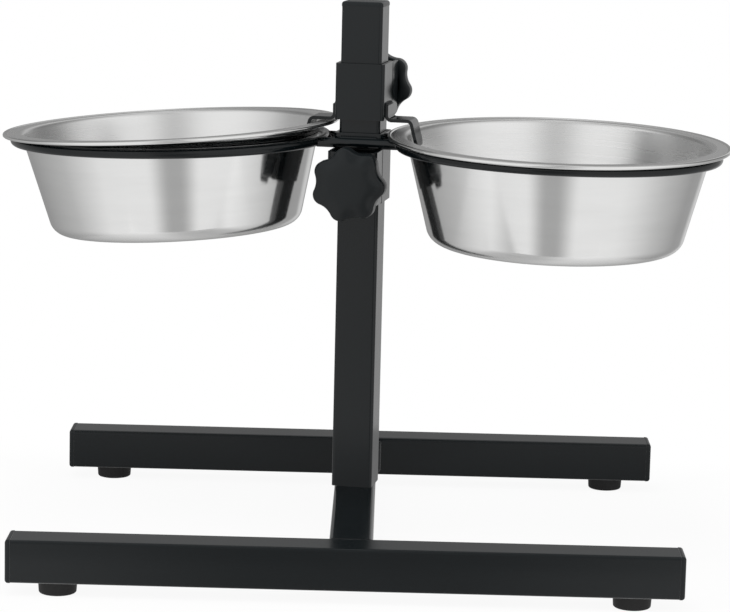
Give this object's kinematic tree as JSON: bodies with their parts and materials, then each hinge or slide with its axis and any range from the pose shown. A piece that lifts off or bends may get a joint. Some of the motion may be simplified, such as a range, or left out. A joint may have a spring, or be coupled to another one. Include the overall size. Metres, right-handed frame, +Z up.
{
  "type": "raised double dog bowl stand",
  "caption": "Raised dog bowl stand: H-shaped tube base, post with sliding hoop carrier, hook clamp and lift-out steel bowls.",
  "frame": {"origin": "on the floor under the middle of the base, half-way between the crossbars", "axes": "+X along the crossbars to the right as seen from the front, +Y to the back, +Z up"},
  "size_m": [0.4429, 0.3254, 0.3305],
  "materials": {
    "black_paint": "semi-gloss black powder coat",
    "black_plastic": "fine matt moulded plastic",
    "black_rubber": "matt moulded rubber",
    "bowl_steel": "satin-polished spun stainless steel",
    "zinc_steel": "bright zinc plate"
  },
  "bodies": {
    "base": {"front_crossbar": "black_paint", "rear_crossbar": "black_paint", "connecting_bar": "black_paint", "front_welds": "black_paint", "rear_welds": "black_paint", "cap_front_left": "black_plastic", "cap_front_right": "black_plastic", "cap_rear_left": "black_plastic", "cap_rear_right": "black_plastic", "foot_front_left": "black_rubber", "foot_front_right": "black_rubber", "foot_rear_left": "black_rubber", "foot_rear_right": "black_rubber", "foot_screws": "zinc_steel"},
    "mast": {"post": "black_paint", "post_cap": "black_plastic", "post_nut_plate": "zinc_steel", "mast_bolt": "zinc_steel", "mast_washer": "zinc_steel"},
    "carrier": {"carrier_sleeve": "black_paint", "front_tie_bar": "black_paint", "rear_tie_bar": "black_paint", "left_hoop": "black_paint", "right_hoop": "black_paint", "carrier_bracket": "black_paint", "carrier_nut": "black_paint"},
    "carrier_grip": {"carrier_knob": "black_plastic", "carrier_stud": "zinc_steel"},
    "clamp": {"clamp_sleeve": "black_paint", "left_hook": "black_paint", "right_hook": "black_paint", "clamp_bracket": "black_paint", "clamp_nut": "black_paint"},
    "clamp_grip": {"clamp_knob": "black_plastic", "clamp_stud": "zinc_steel"},
    "left_dish": {"left_bowl": "bowl_steel"},
    "right_dish": {"right_bowl": "bowl_steel"}
  },
  "joints": [
    {"name": "mast_turn", "type": "hinge", "parent": "base", "child": "mast", "pos_m": [0, 0.006, 0.0325], "axis": [0, 0, 1], "range_deg": [-80, 99.9]},
    {"name": "carrier_slide", "type": "slide", "parent": "mast", "child": "carrier", "axis": [0, 0, 1], "range_m": [-0.14, 0.03]},
    {"name": "carrier_knob_turn", "type": "hinge", "parent": "carrier", "child": "carrier_grip", "pos_m": [0, 0.006, 0.2236], "axis": [-0.1719, -0.9851, 0], "range_deg": [0, 720]},
    {"name": "clamp_lift", "type": "slide", "parent": "carrier", "child": "clamp", "axis": [0, 0, 1], "range_m": [0, 0.09]},
    {"name": "clamp_knob_turn", "type": "hinge", "parent": "clamp", "child": "clamp_grip", "pos_m": [0, 0.006, 0.27643], "axis": [0.1719, 0.9851, 0], "range_deg": [0, 720]},
    {"name": "left_bowl_lift", "type": "slide", "parent": "carrier", "child": "left_dish", "axis": [0, 0, 1], "range_m": [0, 0.0765]},
    {"name": "right_bowl_lift", "type": "slide", "parent": "carrier", "child": "right_dish", "axis": [0, 0, 1], "range_m": [0, 0.0765]}
  ],
  "couplings": [
    {"joint": "left_bowl_lift", "follows": "clamp_lift", "ratio": 0.85},
    {"joint": "right_bowl_lift", "follows": "clamp_lift", "ratio": 0.85}
  ]
}
